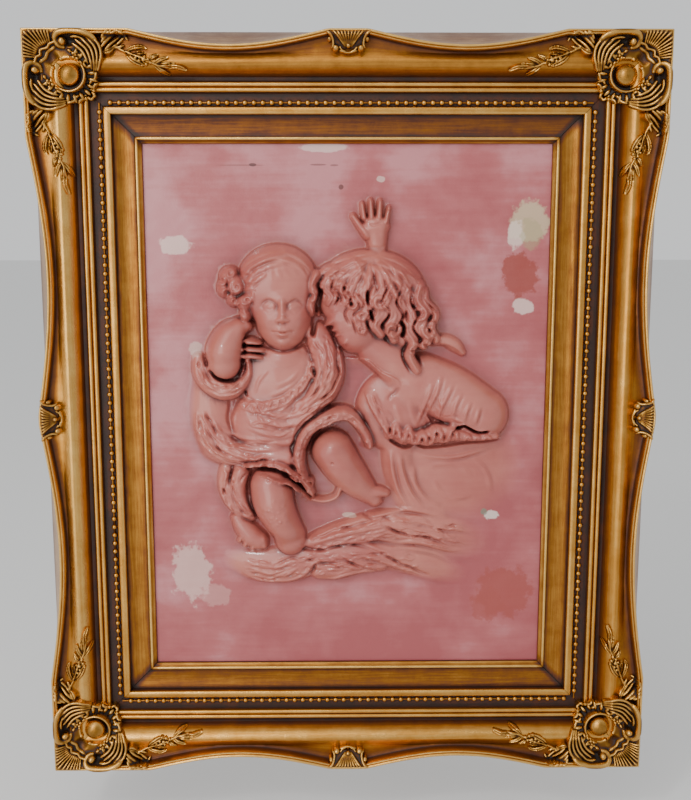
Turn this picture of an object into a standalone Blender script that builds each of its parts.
"""Wall relief: two children in pink plaster, in a gilt swept frame with corner ornaments.

The wall is the plane y = 0, the front looks along -Y and +Z is up. The origin is the hanging point, on the flat
back of the top rail. In a section of the frame, u runs outward from the edge of the picture opening and h runs
off the wall. Carving is drawn in millimetres and brought to metres by MM.
"""
import math

import bmesh
import bpy
import numpy as np
from mathutils import Vector
from mathutils.geometry import delaunay_2d_cdt

MM = 0.001

# Picture opening and overall sizes
SIGHT_WIDTH = 0.305
SIGHT_HEIGHT = 0.407
FRAME_DEPTH = 0.038
GAP = 0.0003

# Main moulding, sizes across the section, drawn in from its outer edge as the ornaments are
MOULDING_WIDTH = 0.0805
LIP_OUTER = MOULDING_WIDTH - 0.0012
LIP_INNER = MOULDING_WIDTH - 0.0052
LIP_FOOT = MOULDING_WIDTH - 0.0057
SWELLING_END = MOULDING_WIDTH - 0.0175
SWELLING_START = MOULDING_WIDTH - 0.0333
REED_END = MOULDING_WIDTH - 0.0362
CHANNEL_END = MOULDING_WIDTH - 0.0443
REBATE_WALL = MOULDING_WIDTH - 0.0520
CHANNEL_START = MOULDING_WIDTH - 0.0539
INNER_LIP = MOULDING_WIDTH - 0.0600

# Main moulding, heights off the wall
SLIP_TOP = 0.0141
INNER_RIDGE = 0.0206
CHANNEL_FLOOR = 0.0174
REED_CREST = 0.0220
QUIRK_FLOOR = 0.0188
SWELLING_CREST = 0.0308
COVE_FLOOR = 0.0284
CREST_SHARE = 0.62
BACK_EDGE = 0.0040

# String of beads
BEAD_LINE = CHANNEL_START + 0.0026
BEAD_WIDTH = 0.0040
BEAD_RISE = 0.0030
BEAD_PITCH = 0.00655
BEAD_FIRST = 0.0030

# Sweep of the outer lip: two dips on every rail
DIP_DEPTH = 0.0108
LIP_STRAIGHT = MOULDING_WIDTH - 0.0040
DIP_REACH_SHORT = 0.0143
DIP_REACH_LONG = 0.0040
DIP_STEPS = 6

# Slip, the small inner moulding
SLIP_REBATE = 0.0068
SLIP_EDGE_TOP = 0.0115
SLIP_BACK = 0.0010

# Relief panel
PANEL_BACK = 0.0010
PANEL_FACE = 0.0090
PANEL_LAP = 0.0065
GROUP_HEIGHT = 0.300
PANEL_GRID = 2.6
PANEL_TRIANGLES = 2600
THINNEST_RELIEF = 0.5

# Ornaments
CAST_THICKNESS = 0.9
MERGE_REACH = 0.5
SHELL_OUTSIDE = 28.2
SHELL_FOOT = 27.5
SHELL_EDGE = 2.6
SHELL_HALF_WIDTH = 17.0
SHELL_REACH = 18.5
SHELL_GRID = 0.85
SHELL_TRIANGLES = 84
ORNAMENT_SEAT = 0.006
CRUMB = 0.00006

FRAME_HALF_WIDTH = SIGHT_WIDTH / 2 + MOULDING_WIDTH
FRAME_HALF_HEIGHT = SIGHT_HEIGHT / 2 + MOULDING_WIDTH
MOUNT_OFFSET = (REBATE_WALL + MOULDING_WIDTH) / 2
CENTRE = Vector((0, 0, -(SIGHT_HEIGHT / 2 + MOUNT_OFFSET)))


# Scene and materials

def clear_scene():
    """Removes every object and gives back the collections for the parts and for their cutters."""
    for item in list(bpy.data.objects):
        bpy.data.objects.remove(item, do_unlink=True)
    collections = []
    for name in ("wall_relief", "cutters"):
        collection = bpy.data.collections.new(name)
        bpy.context.scene.collection.children.link(collection)
        collections.append(collection)
    return collections


def make_material(name, colour, roughness, metallic):
    """One Principled material with plain values."""
    material = bpy.data.materials.new(name)
    material.use_nodes = True
    shader = material.node_tree.nodes["Principled BSDF"]
    shader.inputs["Base Color"].default_value = (*colour, 1.0)
    shader.inputs["Roughness"].default_value = roughness
    shader.inputs["Metallic"].default_value = metallic
    material.diffuse_color = (*colour, 1.0)
    return material


def add_object(name, bm, collection, material=None):
    """Turns a bmesh into a named object with its faces pointing out."""
    bmesh.ops.recalc_face_normals(bm, faces=bm.faces)
    mesh = bpy.data.meshes.new(name)
    bm.to_mesh(mesh)
    bm.free()
    item = bpy.data.objects.new(name, mesh)
    collection.objects.link(item)
    if material:
        mesh.materials.append(material)
    return item


# Lofts from rows of points that run along a rail

def bridge(bm, first, second):
    """Fills the strip between two rows, going on to whichever next point comes first along the rail."""
    i = j = 0
    while i < len(first) - 1 or j < len(second) - 1:
        use_first = j == len(second) - 1
        if i < len(first) - 1 and not use_first:
            use_first = first[i + 1].co.x <= second[j + 1].co.x
        if use_first:
            corners = (first[i], first[i + 1], second[j])
            i += 1
        else:
            corners = (first[i], second[j + 1], second[j])
            j += 1
        if len(set(corners)) == 3:
            bm.faces.new(corners)


def loft(rows):
    """Closes rows of (s, u, h) points into one body; a repeated point stays one vertex."""
    bm = bmesh.new()
    known = {}
    vertex_rows = []
    for row in rows:
        line = []
        for s, u, h in row:
            key = (round(s, 7), round(u, 7), round(h, 7))
            if key not in known:
                known[key] = bm.verts.new((s, -h, u))
            line.append(known[key])
        vertex_rows.append(line)
    for first, second in zip(vertex_rows, vertex_rows[1:] + vertex_rows[:1]):
        bridge(bm, first, second)
    for end in (0, -1):
        ring = list(dict.fromkeys(line[end] for line in vertex_rows))
        bm.faces.new(ring)
    return bm


# Section of the main moulding

def dip_at(s, half_sight, reach):
    """How far the outer lip is drawn inward at a place along a rail, as one half cosine per dip."""
    end = half_sight + MOULDING_WIDTH - LIP_STRAIGHT
    centre = (end + reach) / 2
    half_length = (end - reach) / 2
    away = abs(abs(s) - centre) / half_length
    return DIP_DEPTH * math.cos(math.pi / 2 * away) if away < 1 else 0.0


def moulding_section():
    """Main moulding from the rebate outward, as (u, h, sweep) points.

    Sweep is None for a row that runs straight from mitre to mitre, and else the share of the dip that it takes.
    """
    swell_width = SWELLING_END - SWELLING_START
    swell_rise = SWELLING_CREST - QUIRK_FLOOR
    section = [
        (REBATE_WALL, 0.0, None),
        (REBATE_WALL, SLIP_TOP + GAP, None),
        (INNER_LIP, SLIP_TOP + GAP, None),
        (INNER_LIP + 0.0003, INNER_RIDGE - 0.0010, None),
        (INNER_LIP + 0.0015, INNER_RIDGE, None),
        (CHANNEL_START - 0.0010, INNER_RIDGE, None),
        (CHANNEL_START, CHANNEL_FLOOR, None),
        (CHANNEL_END, CHANNEL_FLOOR, None),
        (CHANNEL_END + 0.0010, REED_CREST - 0.0008, None),
        ((CHANNEL_END + REED_END) / 2, REED_CREST, None),
        (REED_END - 0.0011, REED_CREST - 0.0006, None),
        (REED_END, QUIRK_FLOOR + 0.0002, None),
        (SWELLING_START, QUIRK_FLOOR, None),
    ]
    for share in (0.15, 0.36, CREST_SHARE, 0.84):
        rise = math.sin(math.pi / 2 * min(1.0, share / 0.66)) ** 0.8
        section.append((SWELLING_START + share * swell_width, QUIRK_FLOOR + rise * swell_rise, None))
    section += [
        (SWELLING_END, COVE_FLOOR + 0.0002, 0.0),
        (LIP_FOOT, COVE_FLOOR, 1.0),
        (LIP_INNER, FRAME_DEPTH - 0.0008, 1.0),
        (LIP_OUTER, FRAME_DEPTH, 1.0),
        (MOULDING_WIDTH, BACK_EDGE, 0.0),
        (MOULDING_WIDTH, 0.0, None),
    ]
    return section


def seat_section():
    """What an ornament rests on: the same section, bridged straight over the channel and the quirk."""
    reed_crest = (CHANNEL_END + REED_END) / 2
    swelling_crest = SWELLING_START + CREST_SHARE * (SWELLING_END - SWELLING_START)
    return [point for point in moulding_section()
            if point[1] != CHANNEL_FLOOR and not reed_crest < point[0] < swelling_crest - GAP]


def grow_section(section, margin):
    """Moves a section outward by a margin, each point along the mean normal of its two sides."""
    grown = []
    for index, (u, h, sweep) in enumerate(section):
        last = section[max(index - 1, 0)]
        following = section[min(index + 1, len(section) - 1)]
        along = [np.array([u - last[0], h - last[1]]), np.array([following[0] - u, following[1] - h])]
        normals = [np.array([-a[1], a[0]]) / np.hypot(*a) for a in along if np.hypot(*a) > 0]
        mean = sum(normals) / len(normals)
        mean /= mean @ mean
        grown.append((u + margin * mean[0], h + margin * mean[1], sweep))
    return grown


def sweep_stations(half_sight, reach):
    """Places along a rail where the swept rows get a point: every dip in equal steps."""
    end = half_sight + MOULDING_WIDTH - LIP_STRAIGHT
    steps = [reach + (end - reach) * k / DIP_STEPS for k in range(DIP_STEPS + 1)]
    return [-s for s in reversed(steps)] + steps


def bead_rows(half_sight):
    """Three rows that share a point between beads and spread over each bead, so every bead is a small pyramid."""
    half_row = half_sight + BEAD_LINE
    free = half_row - BEAD_FIRST
    count = int(2 * free / BEAD_PITCH)
    start = -count * BEAD_PITCH / 2
    end_cut = half_row - GAP / math.sqrt(2)
    inner, crest, outer = [], [], []
    for row in (inner, crest, outer):
        row.append((-end_cut, BEAD_LINE, CHANNEL_FLOOR))
    for k in range(count + 1):
        for row in (inner, crest, outer):
            row.append((start + k * BEAD_PITCH, BEAD_LINE, CHANNEL_FLOOR))
        if k < count:
            middle = start + (k + 0.5) * BEAD_PITCH
            inner.append((middle, BEAD_LINE - BEAD_WIDTH / 2, CHANNEL_FLOOR))
            crest.append((middle, BEAD_LINE, CHANNEL_FLOOR + BEAD_RISE))
            outer.append((middle, BEAD_LINE + BEAD_WIDTH / 2, CHANNEL_FLOOR))
    for row in (inner, crest, outer):
        row.append((end_cut, BEAD_LINE, CHANNEL_FLOOR))
    return [inner, crest, outer]


def section_rows(section, half_sight, reach, end_gap):
    """Rows along a rail for a section, cut at 45 degrees at both ends."""
    rows = []
    for u, h, sweep in section:
        end = half_sight + u - end_gap
        row = [(-end, u, h)]
        if sweep is not None:
            for s in sweep_stations(half_sight, reach):
                row.append((s, u - sweep * dip_at(s, half_sight, reach), h))
        row.append((end, u, h))
        rows.append(row)
    return rows


def place_on_side(item, side):
    """Turns and moves a length of moulding, drawn lying along X, onto its side of the frame."""
    turns = {"top": 0, "right": 1, "bottom": 2, "left": 3}
    ways = {"top": Vector((0, 0, 1)), "bottom": Vector((0, 0, -1)), "left": Vector((-1, 0, 0)),
            "right": Vector((1, 0, 0))}
    half = SIGHT_HEIGHT / 2 if side in ("top", "bottom") else SIGHT_WIDTH / 2
    item.rotation_euler = (0, turns[side] * math.pi / 2, 0)
    item.location = CENTRE + ways[side] * half


def side_run(side):
    """Half the opening along a side, and how near its dips come to the middle."""
    if side in ("top", "bottom"):
        return SIGHT_WIDTH / 2, DIP_REACH_SHORT
    return SIGHT_HEIGHT / 2, DIP_REACH_LONG


def make_rail(side, collection, material):
    """One mitred length of the main moulding with its beads."""
    half_sight, reach = side_run(side)
    rows = section_rows(moulding_section(), half_sight, reach, GAP / math.sqrt(2))
    at_channel_end = 7
    rows = rows[:at_channel_end] + bead_rows(half_sight) + rows[at_channel_end:]
    rail = add_object(f"rail_{side}", loft(rows), collection, material)
    place_on_side(rail, side)
    return rail


def make_rail_cutter(side, collection):
    """The same moulding grown by the seating gap, to hollow the backs of the ornaments."""
    half_sight, reach = side_run(side)
    section = grow_section(seat_section(), GAP)
    cutter = add_object(f"seat_{side}", loft(section_rows(section, half_sight, reach, -GAP)), collection)
    cutter.hide_render = True
    cutter.display_type = "WIRE"
    place_on_side(cutter, side)
    return cutter


def make_slip(side, collection, material):
    """One mitred length of the slip: a stepped edge, a shallow hollow and the rebate over the panel."""
    half_sight, _ = side_run(side)
    under = PANEL_FACE + GAP
    outer = REBATE_WALL - GAP
    section = [
        (0.0, under), (0.0003, SLIP_EDGE_TOP), (0.0028, SLIP_EDGE_TOP + 0.0018), (0.0036, SLIP_TOP),
        (0.0050, SLIP_TOP - 0.0003), (0.0060, SLIP_EDGE_TOP + 0.0015), (INNER_LIP * 0.63, SLIP_EDGE_TOP + 0.0013),
        (INNER_LIP - 0.0015, SLIP_TOP), (outer, SLIP_TOP), (outer, SLIP_BACK), (SLIP_REBATE, SLIP_BACK),
        (SLIP_REBATE, under),
    ]
    rows = section_rows([(u, h, None) for u, h in section], half_sight, 0, GAP / math.sqrt(2))
    slip = add_object(f"slip_{side}", loft(rows), collection, material)
    place_on_side(slip, side)
    return slip


# Modelling in relief: a sheet of heights that forms are raised on

class Clay:
    """Heights in mm over a grid of places in mm; each form is blended in where it stands higher."""

    def __init__(self, xs, zs, ground):
        self.x, self.z = np.meshgrid(xs, zs)
        self.height = np.full(self.x.shape, float(ground)) if np.isscalar(ground) else ground.copy()

    def raise_to(self, form, blend=1.0):
        """Smooth maximum of the sheet and a form."""
        gap = np.clip(0.5 + 0.5 * (form - self.height) / blend, 0, 1)
        self.height = self.height * (1 - gap) + form * gap + blend * gap * (1 - gap)

    def mound(self, x, z, half_x, half_z, top, turn=0.0, foot=0.0, blend=2.0):
        """An egg-shaped mound that stands on the height foot, turned by degrees."""
        c, s = math.cos(math.radians(turn)), math.sin(math.radians(turn))
        dx, dz = self.x - x, self.z - z
        far = ((c * dx + s * dz) / half_x) ** 2 + ((-s * dx + c * dz) / half_z) ** 2
        form = np.where(far < 1, foot + (top - foot) * np.sqrt(np.maximum(1 - far, 0)), -50.0)
        self.raise_to(form, blend)

    def along(self, points):
        """Distance from a smooth line through points, with the other values of the points carried along it."""
        line = smooth_line(points)
        nearest = np.full(self.x.shape, 1e9)
        carried = np.zeros(self.x.shape + (line.shape[1] - 2,))
        for a, b in zip(line[:-1], line[1:]):
            d = b[:2] - a[:2]
            t = np.clip(((self.x - a[0]) * d[0] + (self.z - a[1]) * d[1]) / max(d @ d, 1e-9), 0, 1)
            far = np.hypot(self.x - a[0] - t * d[0], self.z - a[1] - t * d[1])
            closer = far < nearest
            nearest = np.where(closer, far, nearest)
            carried = np.where(closer[..., None], a[2:] + t[..., None] * (b[2:] - a[2:]), carried)
        return nearest, carried

    def limb(self, points, blend=2.0):
        """A round-topped form along (x, z, half width, top) points."""
        far, carried = self.along(points)
        share = np.clip(far / carried[..., 0], 0, 1)
        form = np.where(share < 1, carried[..., 1] * np.sqrt(1 - share ** 2), -50.0)
        self.raise_to(form, blend)

    def fold(self, points, half_width, rise):
        """A rounded ridge laid over the forms that stand there, or a furrow when rise is negative."""
        far, carried = self.along([(*p, 1.0) if len(p) == 2 else p for p in points])
        share = np.clip(far / half_width, 0, 1)
        held = np.clip((self.height - 2.0) / 3.0, 0, 1)
        self.height += held * rise * carried[..., 0] * (1 - share ** 2) ** 2


def smooth_line(points, steps=4):
    """A Catmull-Rom curve through points of any number of values."""
    p = np.array(points, dtype=float)
    ends = np.vstack([2 * p[0] - p[1], p, 2 * p[-1] - p[-2]])
    line = []
    for k in range(len(p) - 1):
        a, b, c, d = ends[k:k + 4]
        for t in np.linspace(0, 1, steps, endpoint=False):
            line.append(0.5 * (2 * b + (c - a) * t + (2 * a - 5 * b + 4 * c - d) * t ** 2
                               + (3 * b - a - 3 * c + d) * t ** 3))
    return np.array(line + [p[-1]])


def sheet_body(clay, bottom, place):
    """Closes a sheet of heights into a block: top grid, four sides and one flat bottom face."""
    bm = bmesh.new()
    rows, columns = clay.height.shape
    top = [[bm.verts.new(place(clay.x[r, c], clay.z[r, c], clay.height[r, c])) for c in range(columns)]
           for r in range(rows)]
    for r in range(rows - 1):
        for c in range(columns - 1):
            bm.faces.new((top[r][c], top[r][c + 1], top[r + 1][c + 1], top[r + 1][c]))
    rim = [(0, c) for c in range(columns)] + [(r, columns - 1) for r in range(1, rows)]
    rim += [(rows - 1, c) for c in range(columns - 2, -1, -1)] + [(r, 0) for r in range(rows - 2, 0, -1)]
    low = [bm.verts.new(place(clay.x[r, c], clay.z[r, c], bottom)) for r, c in rim]
    for k in range(len(rim)):
        following = (k + 1) % len(rim)
        (r0, c0), (r1, c1) = rim[k], rim[following]
        bm.faces.new((top[r0][c0], low[k], low[following], top[r1][c1]))
    bm.faces.new(low)
    return bm


def thin_out(item, triangles):
    """A Decimate modifier that leaves about the given number of triangles."""
    now = sum(len(polygon.vertices) - 2 for polygon in item.data.polygons)
    modifier = item.modifiers.new("thin_out", "DECIMATE")
    modifier.ratio = min(1.0, triangles / now)
    modifier.use_collapse_triangulate = True


# Relief panel

def model_left_child(clay):
    """The seated child, seen from the front, with one arm raised to the neck and a loose shift."""
    clay.mound(-55, 10, 36, 42, 16)
    clay.limb([(-104, -8, 14, 7), (-98, -24, 15, 9), (-78, -30, 14, 13), (-52, -36, 12, 16)])
    clay.limb([(-22, 58, 12, 12), (-14, 36, 12, 16), (-22, 10, 13, 17), (-36, -6, 12, 18)])
    clay.limb([(-112, 38, 7, 9), (-107, 24, 8, 13), (-94, 19, 9, 15), (-80, 26, 8, 15), (-74, 38, 6, 13)])
    clay.limb([(-96, 50, 16, 22), (-92, 40, 14, 24), (-90, 34, 12, 20)])
    clay.limb([(-90, 58, 13, 20), (-78, 55, 8, 16), (-70, 51, 6, 15)])
    clay.mound(-51, 98, 31, 31, 23, blend=3)
    clay.mound(-49, 80, 22, 30, 24, blend=4)
    model_face(clay, -49, 90, 40)
    for x, z, size in ((-88, 108, 8), (-92, 97, 7), (-84, 98, 7), (-80, 88, 7), (-88, 90, 6), (-76, 80, 6)):
        clay.mound(x, z, size, size, 16, blend=1.5)
    clay.fold([(-82, 116), (-72, 123), (-58, 126)], 4, 1.5)
    clay.fold([(-40, 125), (-30, 118), (-25, 108)], 4, 1.5)
    for z in (56, 50.5, 45.5):
        clay.limb([(-77, z, 2.6, 14), (-65, z, 2.6, 15)], blend=0.6)
    neckline = [(-82, 17), (-78, 8), (-66, 9), (-50, 14), (-40, 20), (-28, 30), (-26, 46)]
    clay.fold(neckline, 3.5, 2.4)
    for shift in (0, 7, 14):
        clay.fold([(-9 - shift, 60), (-5 - shift, 38), (-14 - shift, 20), (-32 - shift, 2), (-46, -8)], 3.2, 2.2)
    for rise in (0, 7, 14):
        clay.fold([(-114 + rise, -6), (-106 + rise, -25), (-90, -36 + rise), (-66, -34 + rise / 2)], 3.2, 2.2)
    for shift in (0, 6):
        clay.fold([(-113 + shift, 40), (-106 + shift, 24 + shift / 3), (-94, 17 + shift), (-80, 23 + shift)], 2.5, 2)


def model_face(clay, x, z, half_height):
    """A calm generic child's face, laid out by plain proportions of the head."""
    unit = half_height / 40
    clay.fold([(x - 19 * unit, z - 4 * unit), (x - 9 * unit, z - 3 * unit), (x - 4 * unit, z - 5 * unit)], 5 * unit,
              -2.6)
    clay.fold([(x + 19 * unit, z - 4 * unit), (x + 9 * unit, z - 3 * unit), (x + 4 * unit, z - 5 * unit)], 5 * unit,
              -2.6)
    for side in (-1, 1):
        clay.fold([(x + side * 13 * unit, z - 6 * unit), (x + side * 7 * unit, z - 6 * unit)], 2.8 * unit, 1.8)
        clay.mound(x + side * 12 * unit, z - 20 * unit, 9 * unit, 9 * unit, 24, blend=4)
    clay.fold([(x, z - 3 * unit, 0.3), (x, z - 13 * unit, 1.0), (x, z - 17 * unit, 1.2)], 4.5 * unit, 4.2)
    clay.fold([(x - 8 * unit, z - 25 * unit), (x + 8 * unit, z - 25 * unit)], 4 * unit, 1.6)
    clay.fold([(x - 7 * unit, z - 25.5 * unit), (x + 7 * unit, z - 25.5 * unit)], 1.6 * unit, -1.6)
    clay.mound(x, z - 33 * unit, 9 * unit, 6 * unit, 24, blend=3)


def model_left_legs(clay):
    """Both bare legs of the seated child, the near foot and the hems round them."""
    clay.limb([(-94, -54, 8, 8), (-92, -66, 8, 9), (-82, -76, 8, 9), (-72, -80, 6, 8)])
    clay.limb([(-86, -50, 9, 12), (-84, -62, 8, 12), (-78, -72, 6, 11)])
    clay.limb([(-58, -64, 19, 24), (-52, -80, 17, 23), (-44, -96, 14, 19)])
    clay.limb([(-84, -86, 7, 8), (-76, -98, 9, 10), (-67, -104, 7, 9)])
    for k in range(4):
        clay.mound(-73 + 3.6 * k, -108 + 1.4 * k, 2.2, 4, 10 - k, blend=0.6)
    clay.limb([(-13, -30, 17, 24), (-2, -46, 14, 21), (14, -60, 10, 14), (23, -66, 6, 11)])
    clay.mound(22, -68, 7, 8, 11, blend=1)
    hem = [(-30, -52), (-38, -38), (-37, -20), (-27, -6), (-12, 1), (3, -3), (12, -14), (15, -26)]
    clay.limb([(*p, 6, 20 - 0.16 * abs(k - 3) ** 2.4) for k, p in enumerate(hem)], blend=1.5)
    clay.fold([(-32, -48), (-33, -30), (-26, -14), (-12, -7), (2, -9)], 2.6, -3.5)
    clay.mound(13, -24, 6, 6.5, 15, blend=1)
    clay.limb([(-78, -40, 4, 12), (-60, -38, 5, 17), (-44, -44, 5, 20), (-30, -54, 4, 18), (-26, -66, 4, 13)],
              blend=1.2)
    clay.limb([(-66, -48, 3, 20), (-52, -52, 3.5, 24), (-42, -54, 3, 22), (-34, -62, 3, 15)], blend=1)


def model_right_child(clay):
    """The child that leans in from the right, with a hand raised behind the head and a puffed sleeve."""
    clay.mound(38, 5, 36, 38, 11, blend=3)
    clay.mound(66, -45, 50, 36, 4.5, blend=3)
    clay.limb([(24, 52, 15, 13), (38, 36, 16, 13), (48, 14, 18, 13)], blend=3)
    clay.mound(91, 10, 31, 27, 19, turn=-28, blend=2.5)
    clay.mound(6, 66, 22, 27, 20, turn=-22, blend=3)
    clay.mound(19, 96, 41, 31, 24, turn=-4, blend=3)
    model_turned_face(clay)
    clay.limb([(22, 126, 8, 8), (22, 133, 8, 8), (21, 142, 9.5, 9)], blend=1.5)
    for x, z in ((11, 159), (17.5, 161.5), (24, 161), (30, 157)):
        clay.limb([(15 + (x - 15) * 0.8, 146, 3, 8.5), (x, z, 2.6, 8)], blend=0.8)
    clay.limb([(12, 138, 3.6, 8), (7, 145, 3, 7.5), (3.5, 151, 2.4, 6)], blend=0.8)
    curls = ((-24, 96, 6), (-26, 87, 5), (-12, 92, 6), (-2, 88, 6), (10, 82, 7), (12, 72, 7), (24, 88, 8),
             (34, 78, 8), (33, 66, 9), (46, 66, 8), (52, 78, 8), (61, 64, 9), (47, 52, 8), (51, 40, 7), (64, 54, 5))
    for x, z, size in curls:
        clay.mound(x, z, size, size, 21, blend=1.2)
        clay.mound(x, z - size * 0.1, size * 0.4, size * 0.4, 17, blend=0.5)
    for k in range(7):
        lean = -24 + 13 * k
        clay.fold([(16, 118), (16 + lean * 0.7, 108), (18 + lean * 1.05, 92)], 3.2, 1.5)
    clay.limb([(66, 58, 4, 6), (77, 56, 5, 7), (86, 48, 4, 6)], blend=1)
    clay.limb([(68, 49, 3.5, 7), (80, 48, 4, 7), (86, 45, 3, 5)], blend=1)
    clay.fold([(-4, 43), (14, 42), (24, 33), (40, 28), (38, 21)], 2.4, -2.2)
    clay.fold([(12, 16), (20, 2), (29, -13)], 2.4, 1.6)
    ruffle = [(28, -8), (38, -18), (55, -18), (70, -12), (84, -11), (98, -15), (112, -15)]
    clay.limb([(*p, 5, 14 + 3 * (k % 2)) for k, p in enumerate(ruffle)], blend=1.2)
    clay.fold([(30, -17), (44, -25), (62, -24), (84, -22), (116, -20)], 2.5, -3)
    for k in range(4):
        clay.fold([(34 + 18 * k, -30), (40 + 19 * k, -48), (52 + 20 * k, -68)], 4, 1.5)


def model_turned_face(clay):
    """The second face, turned to the left and down, laid out by plain proportions of the head."""
    clay.mound(2, 66, 16, 15, 21, turn=-20, blend=3)
    clay.mound(-12, 71, 6, 8, 16, turn=-20, blend=2)
    clay.mound(-5, 53, 10, 8, 16, turn=-25, blend=2.5)
    clay.limb([(-13, 75, 2.5, 14), (-20, 66, 3.0, 12), (-15, 62, 2.5, 13)], blend=1.5)
    clay.fold([(-15, 79), (-7, 76), (1, 77)], 4, -2.2)
    clay.fold([(-10, 77), (-3, 75)], 2.2, 1.4)
    clay.fold([(-17, 57), (-8, 57)], 2.0, -1.6)
    clay.mound(6, 62, 9, 9, 20, blend=3)


def model_drapery(clay):
    """The cloth that the group rests on, in long folds low on the panel."""
    clay.limb([(-30, -104, 6, 8), (-8, -96, 9, 10), (20, -88, 12, 10), (56, -88, 12, 7), (90, -94, 12, 3)])
    clay.limb([(-34, -112, 7, 7), (0, -110, 10, 8), (34, -112, 10, 8), (66, -122, 9, 5), (84, -128, 7, 2.5)])
    clay.limb([(-86, -122, 6, 3), (-68, -126, 11, 6), (-44, -126, 12, 7), (-22, -124, 12, 7), (4, -124, 8, 5)])
    clay.fold([(-84, -128), (-64, -136), (-46, -135), (-33, -129), (-26, -120), (-8, -118)], 3, 2)
    clay.fold([(-28, -132), (-12, -135), (2, -128), (18, -126)], 3, 1.8)
    clay.fold([(-30, -102), (-10, -94), (12, -84), (44, -79), (76, -84)], 3.5, 2)
    clay.fold([(28, -87), (50, -97), (70, -103)], 3, -2.4)
    clay.fold([(18, -108), (40, -120), (62, -130)], 3, -2.4)
    clay.fold([(-24, -100), (0, -102), (18, -100), (40, -108), (70, -114)], 3.2, 1.8)
    clay.fold([(-8, -112), (6, -120), (20, -124)], 2.6, -1.8)


def make_panel(collection, material):
    """The plaster casting: a flat slab with the group raised on its face."""
    half_width = (SIGHT_WIDTH / 2 + PANEL_LAP) / MM
    half_height = (SIGHT_HEIGHT / 2 + PANEL_LAP) / MM
    share = GROUP_HEIGHT / MM / 300
    xs = np.linspace(-half_width, half_width, int(2 * half_width / PANEL_GRID))
    zs = np.linspace(-half_height, half_height, int(2 * half_height / PANEL_GRID))
    clay = Clay(xs / share, zs / share, 0.0)
    model_right_child(clay)
    model_left_child(clay)
    model_drapery(clay)
    model_left_legs(clay)
    face, low = PANEL_FACE, PANEL_BACK
    clay.x, clay.z = np.meshgrid(xs, zs)
    clay.height = np.where(clay.height > THINNEST_RELIEF, clay.height, 0.0) * share
    bm = sheet_body(clay, 0, lambda x, z, h: (x * MM, -(face + h * MM), z * MM))
    rim = [v for v in bm.verts if any(len(f.verts) > 4 for f in v.link_faces)]
    for vertex in rim:
        vertex.co.y = -low
    panel = add_object("relief_panel", bm, collection, material)
    panel.location = CENTRE
    thin_out(panel, PANEL_TRIANGLES)
    return panel


# Ornaments

def moulding_height(u, dip):
    """Height of the moulding's front in mm at places u in mm, for an inward dip of the lip in mm."""
    section = moulding_section()[2:-1]
    us = [s[0] / MM for s in section]
    hs = [s[1] / MM for s in section]
    plain = np.interp(u, us, hs)
    foot, inner, outer = LIP_FOOT / MM, LIP_INNER / MM, LIP_OUTER / MM
    lip = np.interp(u + dip, [foot, inner, outer], [COVE_FLOOR / MM, hs[-3], FRAME_DEPTH / MM])
    cove = np.where(u + dip > foot, lip, COVE_FLOOR / MM)
    return np.where(u > SWELLING_END / MM, cove, plain)


def corner_ground(x, z):
    """Height of the moulding under a corner ornament; x and z are distances in from the two outer edges."""
    return moulding_height(MOULDING_WIDTH / MM - np.minimum(x, z), 0.0)


def corner_seat(x, z):
    """Height of the casting's own ground, which eases the moulding's steps."""
    inward = np.minimum(x, z)
    eased = np.interp(inward, [0, 4, 9, 16, 24, 34, 42, 50], [38.9, 38.9, 35.5, 33.8, 33.2, 28.5, 24.5, 22.0])
    return np.maximum(eased, corner_ground(x, z) + CAST_THICKNESS)


BODY_EDGE = [
    (24, 1.6), (38, 1.8), (50, 2.5), (57, 8), (60, 15), (59, 23), (55, 30), (50, 35), (52.5, 41), (47, 43), (48, 48),
]
BUNCH_EDGE = [(50, 1.8), (63, 1.6), (74, 3), (70, 8.5), (76, 14), (66, 14), (59, 11)]
CORNER_RIDGES = [
    ([(31, 14), (26, 10), (28, 4.8), (38, 4), (50, 7)], 2.6, 2.8),
    ([(50, 7), (56, 13), (57, 21), (54, 29)], 2.0, 3.0),
    ([(41, 9), (48, 15), (51, 22), (52, 29)], 2.0, 2.8),
    ([(57, 6), (65, 8.5), (74, 13)], 2.2, 2.0),
    ([(58, 4), (66, 4.5), (73.5, 3.5)], 1.8, 1.8),
]
SPRAY_RIDGES = [
    ([(66, 11), (73, 15.5), (81, 18.5)], 2.2, 2.4),
    ([(78, 18), (85, 17), (92, 14.5)], 2.6, 2.4),
    ([(79, 18), (87, 23.5), (97, 26)], 4.2, 3.2),
    ([(93, 25), (100, 22.5), (107, 20)], 2.4, 2.2),
    ([(93, 25), (99, 29), (105, 32.5)], 2.4, 2.2),
    ([(94, 26), (106, 28), (117, 29.5)], 2.6, 2.4),
]
BOSS_PLACE = 32.5
BOSS_RADIUS = 8.8
BOSS_FOOT = 28.0
BOSS_RISE = 8.5
RING_RADIUS = 11.6
TONGUE_RADIUS = 17.0
TONGUES = 9
FAN_PLACE = 22.0
FAN_RIBS = 5
FAN_SPREAD = 0.62


def mirrored(points):
    """The same points on the other side of the diagonal."""
    return [(z, x) for x, z in points]


def inside(polygon, x, z):
    """Which places lie inside a polygon, by counting the sides crossed."""
    crossed = np.zeros(np.shape(x), dtype=bool)
    for (x0, z0), (x1, z1) in zip(polygon, polygon[1:] + polygon[:1]):
        spans = (z0 > z) != (z1 > z)
        reach = x0 + (z - z0) * (x1 - x0) / (z1 - z0 if z1 != z0 else 1.0)
        crossed ^= spans & (x < reach)
    return crossed


def body_outline():
    """The closed outline of the ornament's body, symmetric about the diagonal."""
    return [(1.5, 1.5)] + BODY_EDGE + mirrored(BODY_EDGE)[::-1]


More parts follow.
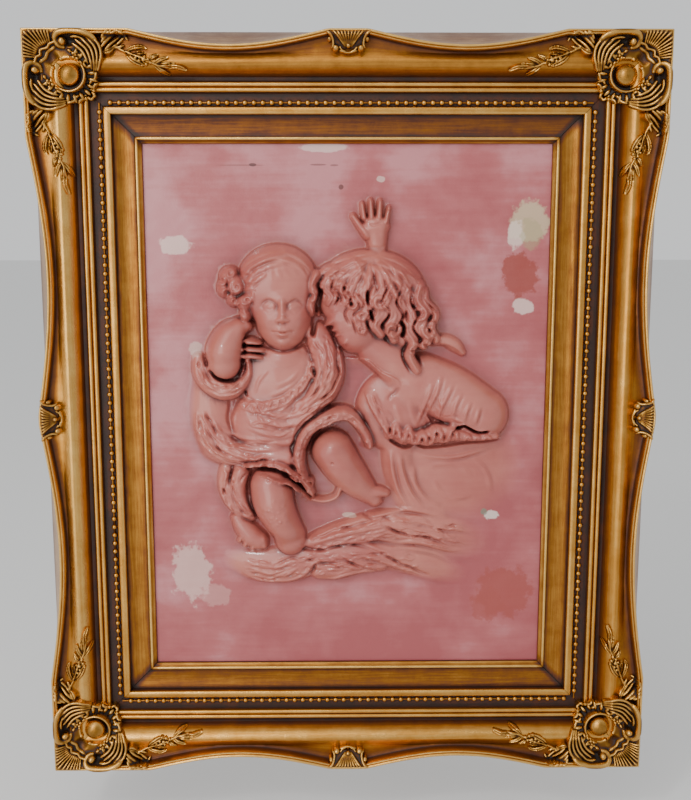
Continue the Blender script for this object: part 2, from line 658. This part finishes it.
def share_of_ridge(points, half_width, x, z):
    """How far places are from a ridge line, as a share of its half width, at most 1."""
    nearest = np.full(np.shape(x), 1e9)
    line = np.array(points, dtype=float)
    for a, b in zip(line[:-1], line[1:]):
        d = b - a
        t = np.clip(((x - a[0]) * d[0] + (z - a[1]) * d[1]) / (d @ d), 0, 1)
        nearest = np.minimum(nearest, np.hypot(x - a[0] - t * d[0], z - a[1] - t * d[1]))
    return np.clip(nearest / half_width, 0, 1)


def leaf_outline(points, half_width):
    """The outline of a leaf along a line of points, pointed at both ends."""
    left, right = [], []
    for before, (x, z), after in zip(points, points[1:], points[2:]):
        across = np.array([before[1] - after[1], after[0] - before[0]])
        across = across * half_width / np.hypot(*across)
        left.append((x + across[0], z + across[1]))
        right.append((x - across[0], z - across[1]))
    return [points[0]] + left + [points[-1]] + right[::-1]


def corner_outlines():
    """Closed outlines that together bound the ornament: its body, the leaf bunches and the sprays."""
    outlines = [body_outline()]
    for side in (list, mirrored):
        outlines.append(side(BUNCH_EDGE))
        outlines += [leaf_outline(side(points), width) for points, width, _ in SPRAY_RIDGES]
    return outlines


def corner_height(x, z):
    """Height of the ornament's front at places x, z."""
    seat, ground = corner_seat(x, z), corner_ground(x, z)
    on_body = inside(body_outline(), x, z) | (np.maximum(x, z) < 77)
    height = np.where(on_body & (np.minimum(x, z) < 15) | inside(body_outline(), x, z), seat,
                      ground + CAST_THICKNESS)
    turn = np.arctan2(FAN_PLACE - z, FAN_PLACE - x) - math.pi / 4
    ribs = 0.9 + 0.8 * np.cos(turn * math.pi * FAN_RIBS / FAN_SPREAD)
    in_fan = (np.hypot(x - FAN_PLACE, z - FAN_PLACE) > 9.5) & (np.maximum(x, z) < 23.5)
    height = np.where(in_fan, seat + ribs, height)
    for side in (list, mirrored):
        for group, base in ((CORNER_RIDGES, seat), (SPRAY_RIDGES, ground)):
            for points, width, rise in group:
                share = share_of_ridge(side(points), width, x, z)
                height = np.where(share < 1, np.maximum(height, base + rise * np.sqrt(1 - share ** 2)), height)
    far = np.hypot(x - BOSS_PLACE, z - BOSS_PLACE)
    dome = BOSS_FOOT + BOSS_RISE * np.sqrt(np.maximum(1 - (far / BOSS_RADIUS) ** 2, 0))
    height = np.where(far < RING_RADIUS * 0.95, dome, height)
    height = np.where(np.abs(far - RING_RADIUS) < 0.05 * RING_RADIUS, BOSS_FOOT + 4.5, height)
    swing = np.arctan2(z - BOSS_PLACE, x - BOSS_PLACE)
    tongues = (np.abs(far - TONGUE_RADIUS) < 2.6) & (np.cos(swing - math.pi / 4) > -0.25)
    return np.where(tongues, np.maximum(height, seat + 0.9 + 0.9 * np.cos(swing * TONGUES)), height)


def corner_points():
    """Places inside the ornament that carry its form: ribs, boss, ring and tongues."""
    points = []
    for k in range(-FAN_RIBS, FAN_RIBS + 1):
        turn = 1.25 * math.pi + k * FAN_SPREAD / FAN_RIBS
        for radius in (10.5, 20.5):
            points.append((FAN_PLACE + radius * math.cos(turn), FAN_PLACE + radius * math.sin(turn)))
    rings = ((0.1, 1), (BOSS_RADIUS * 0.65, 6), (BOSS_RADIUS, 8), (RING_RADIUS, 9))
    for radius, count in rings:
        for k in range(count):
            turn = 2 * math.pi * k / count
            points.append((BOSS_PLACE + radius * math.cos(turn), BOSS_PLACE + radius * math.sin(turn)))
    for k in range(-TONGUES // 2, 2 * TONGUES):
        turn = k * math.pi / TONGUES
        if math.cos(turn - math.pi / 4) > -0.25:
            points.append((BOSS_PLACE + TONGUE_RADIUS * math.cos(turn), BOSS_PLACE + TONGUE_RADIUS * math.sin(turn)))
    return points


def corner_faces():
    """Triangles of the ornament seen from the front, with every outline and ridge crest as an edge."""
    places, edges = [], []

    def add_line(points, closed):
        first = len(places)
        places.extend(points)
        edges.extend((first + k, first + k + 1) for k in range(len(points) - 1))
        if closed:
            edges.append((first + len(points) - 1, first))

    outlines = corner_outlines()
    for outline in outlines:
        add_line(outline, True)
    for side in (list, mirrored):
        for points, width, _ in CORNER_RIDGES:
            add_line(leaf_outline(side(points), 0.97 * width), True)
            add_line(side(points), False)
        for points, _, _ in SPRAY_RIDGES:
            add_line(side(points), False)
    places += corner_points()
    flat = [Vector(place) for place in places]
    met, _, faces, *_ = delaunay_2d_cdt(flat, edges, [], 0, MERGE_REACH)
    met = np.array(met)
    middles = np.array([met[list(face)].mean(axis=0) for face in faces])
    kept = np.zeros(len(faces), dtype=bool)
    for outline in outlines:
        kept |= inside(outline, middles[:, 0], middles[:, 1])
    return met, without_pinches([face for face, keep in zip(faces, kept) if keep])


def without_pinches(faces):
    """Drops the smaller fan wherever two fans of triangles meet in one point only."""
    while True:
        around = {}
        for face in faces:
            for k in face:
                around.setdefault(k, []).append(face)
        dropped = set()
        for k, fans in around.items():
            groups = []
            for face in fans:
                joined = [g for g in groups if any(len(set(face) & set(other)) > 1 for other in g)]
                groups = [g for g in groups if g not in joined] + [sum(joined, [face])]
            groups.sort(key=len)
            dropped.update(tuple(face) for group in groups[:-1] for face in group)
        if not dropped:
            return faces
        faces = [face for face in faces if tuple(face) not in dropped]


def region_body(places, faces, heights, bottom, place):
    """Closes triangles with heights into a block down to a flat bottom."""
    bm = bmesh.new()
    used = sorted({k for face in faces for k in face})
    top = {k: bm.verts.new(place(*places[k], heights[k])) for k in used}
    low = {k: bm.verts.new(place(*places[k], bottom)) for k in used}
    sides = {}
    for face in faces:
        bm.faces.new([top[k] for k in face])
        bm.faces.new([low[k] for k in reversed(face)])
        for a, b in zip(face, face[1:] + face[:1]):
            sides[(a, b)] = (b, a) not in sides
            if not sides[(a, b)]:
                sides[(b, a)] = False
    for (a, b), open_side in sides.items():
        if open_side:
            bm.faces.new((top[a], low[a], low[b], top[b]))
    return bm


def keep_largest_body(item):
    """Applies the modifiers and drops the crumbs that a cut leaves beside the main body."""
    bpy.context.view_layer.update()
    graph = bpy.context.evaluated_depsgraph_get()
    mesh = bpy.data.meshes.new_from_object(item.evaluated_get(graph))
    item.modifiers.clear()
    item.data = mesh
    bm = bmesh.new()
    bm.from_mesh(mesh)
    left = set(bm.verts)
    bodies = []
    while left:
        body, queue = set(), [left.pop()]
        while queue:
            vertex = queue.pop()
            body.add(vertex)
            for edge in vertex.link_edges:
                other = edge.other_vert(vertex)
                if other in left:
                    left.remove(other)
                    queue.append(other)
        bodies.append(body)
    bodies.sort(key=len)
    crumbs = [vertex for body in bodies[:-1] for vertex in body]
    bmesh.ops.delete(bm, geom=crumbs, context="VERTS")
    bmesh.ops.remove_doubles(bm, verts=bm.verts, dist=CRUMB)
    bmesh.ops.dissolve_degenerate(bm, edges=bm.edges, dist=CRUMB)
    bm.to_mesh(mesh)
    bm.free()


def seat_on(item, cutters):
    """Hollows the back of an ornament to fit the rails it sits on."""
    for cutter in cutters:
        modifier = item.modifiers.new(f"seat_{cutter.name}", "BOOLEAN")
        modifier.operation = "DIFFERENCE"
        modifier.solver = "EXACT"
        modifier.object = cutter
    keep_largest_body(item)


def make_corner(name, way_x, way_z, cutters, collection, material):
    """One corner ornament, mirrored into its corner and seated on its two rails."""
    def place(x, z, h):
        return (way_x * (FRAME_HALF_WIDTH - x * MM), -h * MM, way_z * (FRAME_HALF_HEIGHT - z * MM))
    places, faces = corner_faces()
    heights = corner_height(places[:, 0], places[:, 1])
    block = region_body(places, faces, heights, ORNAMENT_SEAT / MM, place)
    corner = add_object(name, block, collection, material)
    corner.location = CENTRE
    seat_on(corner, cutters)
    return corner


def raise_on(clay, seat, far, half_width, rise):
    """A rounded ridge of a given half width and rise that stands on the seat height."""
    share = np.clip(far / half_width, 0, 1)
    clay.height = np.where(share < 1, np.maximum(clay.height, seat + rise * np.sqrt(1 - share ** 2)), clay.height)


def shell_clay():
    """Heights of one middle shell: x along the rail from its middle, z the distance in from the outer edge."""
    xs = np.arange(-SHELL_HALF_WIDTH, SHELL_HALF_WIDTH + 0.01, SHELL_GRID)
    zs = np.arange(SHELL_EDGE, SHELL_REACH, SHELL_GRID)
    clay = Clay(xs, zs, 0.0)
    seat = np.interp(clay.z, [0, 5, 10, 18], [38.3, 38.3, 35.0, 31.0])
    focus = np.hypot(clay.x, clay.z - 14)
    turn = np.arctan2(clay.x, 14 - clay.z)
    cup = (np.abs(clay.x) < 16.5 - 0.55 * clay.z) & (clay.z < 16)
    fluted = seat + 0.9 + 0.9 * np.cos(turn * 11) * np.clip(focus / 8, 0, 1)
    clay.height = np.where(cup, fluted, SHELL_OUTSIDE)
    for side in (-1, 1):
        arm, _ = clay.along([(side * 15, 2.5), (side * 11.5, 7), (side * 9.5, 12)])
        raise_on(clay, seat, arm, 1.9, 2.2)
        raise_on(clay, seat, np.hypot(clay.x - side * 9, clay.z - 14.3), 3.0, 4.0)
    arc, _ = clay.along([(-8, 15), (0, 17), (8, 15)])
    raise_on(clay, seat - 1, arc, 1.5, 2.2)
    return clay


def make_shell(side, clay, cutter, collection, material):
    """One middle shell, laid on the crest of its rail."""
    def place(x, z, h):
        return (x * MM, -h * MM, MOULDING_WIDTH - z * MM)
    shell = add_object(f"shell_{side}", sheet_body(clay, SHELL_FOOT, place), collection, material)
    place_on_side(shell, side)
    thin_out(shell, SHELL_TRIANGLES)
    bpy.context.view_layer.update()
    seat_on(shell, [cutter])
    return shell


def main():
    """Builds the frame, the slip, the casting and the ornaments."""
    parts, cutter_collection = clear_scene()
    gilt = make_material("gilt moulding", (0.52, 0.31, 0.08), 0.38, 0.85)
    slip_gilt = make_material("gilt slip", (0.50, 0.32, 0.10), 0.42, 0.80)
    cast_gilt = make_material("gilt castings", (0.40, 0.23, 0.07), 0.42, 0.80)
    plaster = make_material("pink plaster", (0.52, 0.20, 0.17), 0.55, 0.0)
    sides = ("top", "bottom", "left", "right")
    cutters = {side: make_rail_cutter(side, cutter_collection) for side in sides}
    for side in sides:
        make_rail(side, parts, gilt)
        make_slip(side, parts, slip_gilt)
    make_panel(parts, plaster)
    for vertical, way_z in (("top", 1), ("bottom", -1)):
        for horizontal, way_x in (("left", -1), ("right", 1)):
            make_corner(f"corner_{vertical}_{horizontal}", way_x, way_z,
                        [cutters[vertical], cutters[horizontal]], parts, cast_gilt)
    clay = shell_clay()
    for side in sides:
        make_shell(side, clay, cutters[side], parts, cast_gilt)


main()
